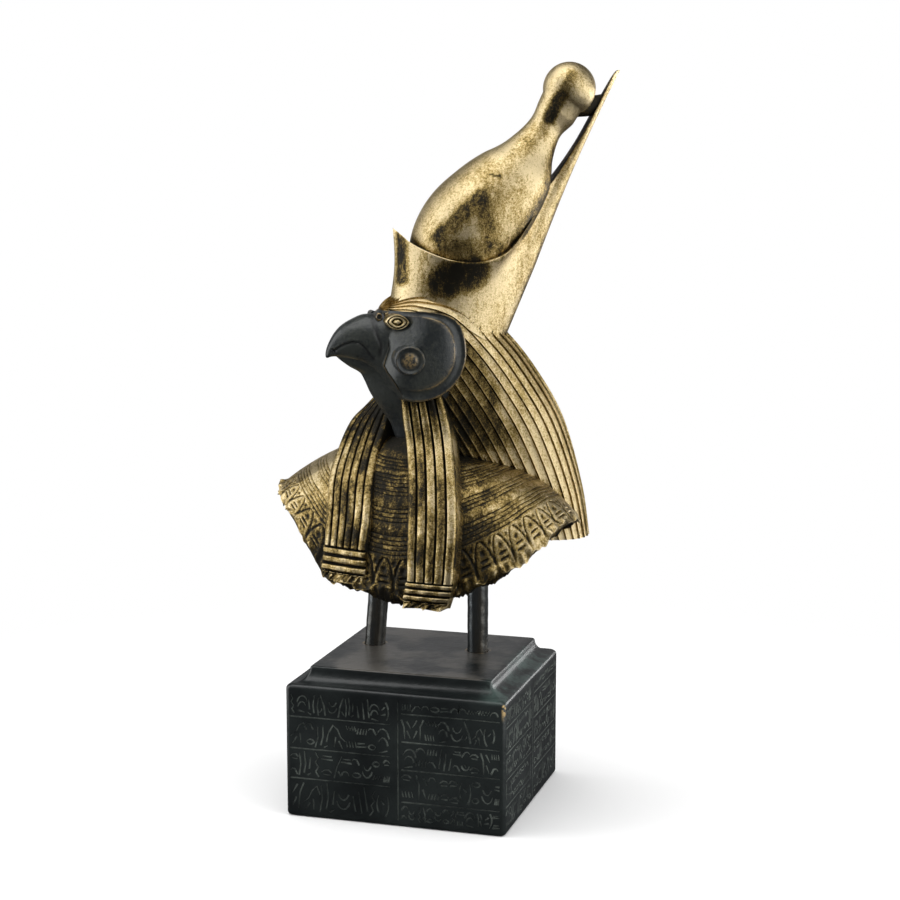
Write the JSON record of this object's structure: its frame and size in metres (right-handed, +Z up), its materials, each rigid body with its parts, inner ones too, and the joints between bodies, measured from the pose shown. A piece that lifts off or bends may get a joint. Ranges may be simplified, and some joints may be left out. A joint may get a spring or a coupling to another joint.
{
  "type": "falcon-headed bust on a plinth",
  "caption": "Gilt falcon-headed bust in a tall double crown, with a striped wig and broken collar, held on rods over a dark inscribed plinth.",
  "frame": {"origin": "middle of the plinth's flat underside, on the surface that the object stands on", "axes": "+Z up, towards the crown; -Y out of the plinth's long inscribed face; +X to the right seen from that face"},
  "size_m": [0.1881, 0.1278, 0.4173],
  "materials": {
    "plinth_patina": "cast resin with a satin black-green patina",
    "rod_metal": "blackened metal, satin",
    "antique_gilt": "cast resin with an antiqued metallic gilt and a dark face"
  },
  "bodies": {
    "root": {"plinth": "plinth_patina", "rod_left": "rod_metal", "rod_right": "rod_metal", "bust": "antique_gilt"}
  },
  "joints": []
}
